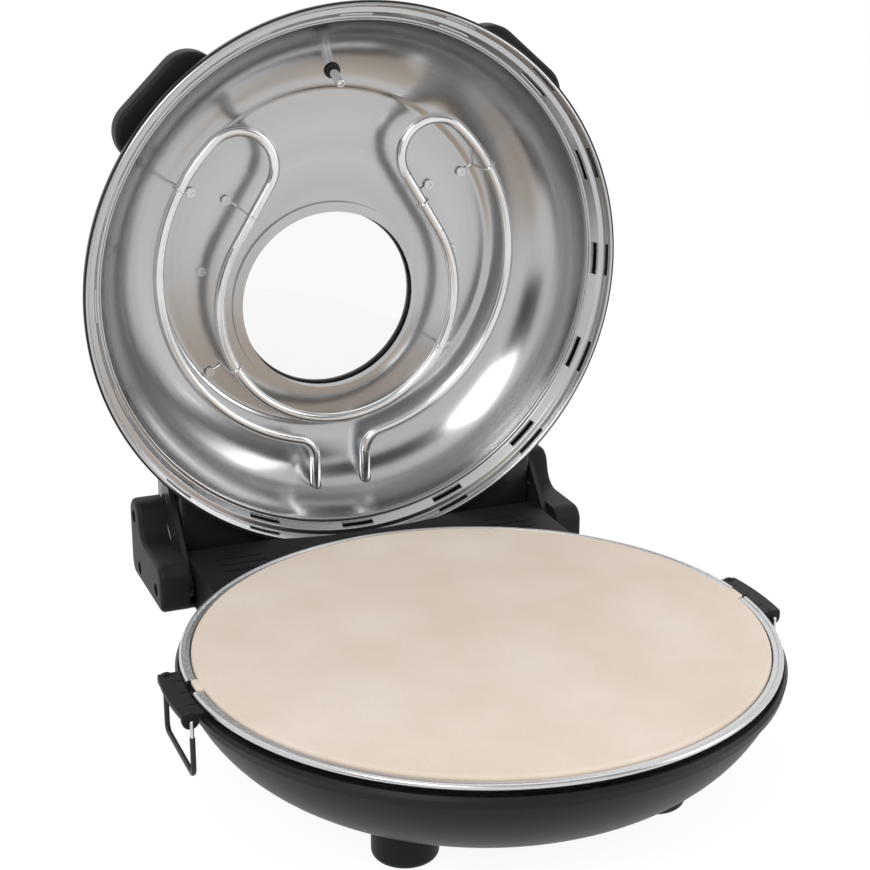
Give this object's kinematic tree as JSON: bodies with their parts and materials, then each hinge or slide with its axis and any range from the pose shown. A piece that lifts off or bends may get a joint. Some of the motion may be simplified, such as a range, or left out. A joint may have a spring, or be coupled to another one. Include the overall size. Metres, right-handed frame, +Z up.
{
  "type": "electric countertop pizza maker with a hinged lid",
  "caption": "Round electric pizza maker, open: steel bowl with a baking stone, domed lid with a round window, mirror lining and bent tube heater, hinged at the back.",
  "frame": {"origin": "middle of the footprint of the oven with its lid open, at table height; the bowl's axis is 47.5 mm in front of it", "axes": "+X to the right, +Y to the back where the hinge is, +Z up"},
  "size_m": [0.3396, 0.4156, 0.3889],
  "materials": {
    "black_enamel": "satin black paint on pressed steel",
    "black_bowl": "satin black heat-proof paint, a little lighter on the rim band",
    "brushed_ring": "fine brushed steel with a polished bead",
    "mirror_steel": "mirror-polished steel",
    "baking_stone": "matte fired baking stone with fine pits",
    "heater_tube": "bright drawn tube",
    "dark_heater": "heat-browned tube",
    "zinc": "zinc-plated sheet and screws",
    "dark_screw": "blackened screws",
    "black_plastic": "fine-grained black moulding",
    "gloss_housing": "polished black moulding",
    "ceramic_part": "unglazed white ceramic",
    "dark_bakelite": "dark moulded switch case",
    "rubber_part": "black heat-proof rubber",
    "window_pane": "clear toughened glass",
    "bail_coat": "black sleeve with a soft sheen"
  },
  "bodies": {
    "base": {"base_bowl": "black_bowl", "inner_pan": "brushed_ring", "lower_element": "dark_heater", "lower_element_clips": "zinc", "lower_element_bushings": "ceramic_part", "pan_standoffs": "zinc", "base_screws": "zinc", "base_thermostat": "dark_bakelite", "thermal_fuse": "ceramic_part", "terminal_block": "ceramic_part", "foot_front_left": "black_plastic", "foot_front_right": "black_plastic", "foot_rear_left": "black_plastic", "foot_rear_right": "black_plastic", "foot_screws": "zinc", "left_side_bracket": "black_plastic", "right_side_bracket": "black_plastic", "bracket_screws": "dark_screw", "rear_housing": "black_plastic", "housing_floor": "black_plastic", "housing_screws": "zinc", "cord_gland": "rubber_part", "left_hinge_bracket": "zinc", "right_hinge_bracket": "zinc", "left_hinge_cover": "black_plastic", "right_hinge_cover": "black_plastic", "hinge_cover_screws": "dark_screw", "left_hinge_pin": "zinc", "right_hinge_pin": "zinc"},
    "lid": {"lid_outer_shell": "black_enamel", "lid_inner_dome": "mirror_steel", "lid_rim": "mirror_steel", "window_frame": "mirror_steel", "window_gasket": "rubber_part", "window_glass": "window_pane", "window_bezel": "black_enamel", "upper_element": "heater_tube", "element_clips": "heater_tube", "element_screws": "zinc", "upper_element_bushings": "ceramic_part", "temperature_probe": "heater_tube", "probe_grommet": "rubber_part", "lid_thermostat": "dark_bakelite", "left_lid_handle": "black_plastic", "right_lid_handle": "black_plastic", "handle_screws": "dark_screw", "lid_hinge_housing": "gloss_housing", "left_lid_arm": "zinc", "right_lid_arm": "zinc", "arm_screws": "zinc"},
    "stone": {"pizza_stone": "baking_stone"},
    "left_bail": {"left_bail_wire": "zinc", "left_bail_sleeve": "bail_coat"},
    "right_bail": {"right_bail_wire": "zinc", "right_bail_sleeve": "bail_coat"}
  },
  "joints": [
    {"name": "lid_hinge", "type": "hinge", "parent": "base", "child": "lid", "pos_m": [0, 0.11903, 0.0575], "axis": [1, 0, 0], "range_deg": [0, 88]},
    {"name": "stone_lift", "type": "slide", "parent": "base", "child": "stone", "axis": [0, 0, 1], "range_m": [0, 0.007]},
    {"name": "left_bail_swing", "type": "hinge", "parent": "base", "child": "left_bail", "pos_m": [-0.1638, -0.04747, 0.0702], "axis": [0, 1, 0], "range_deg": [-25, 95]},
    {"name": "right_bail_swing", "type": "hinge", "parent": "base", "child": "right_bail", "pos_m": [0.1638, -0.04747, 0.0702], "axis": [0, -1, 0], "range_deg": [-25, 95]}
  ]
}
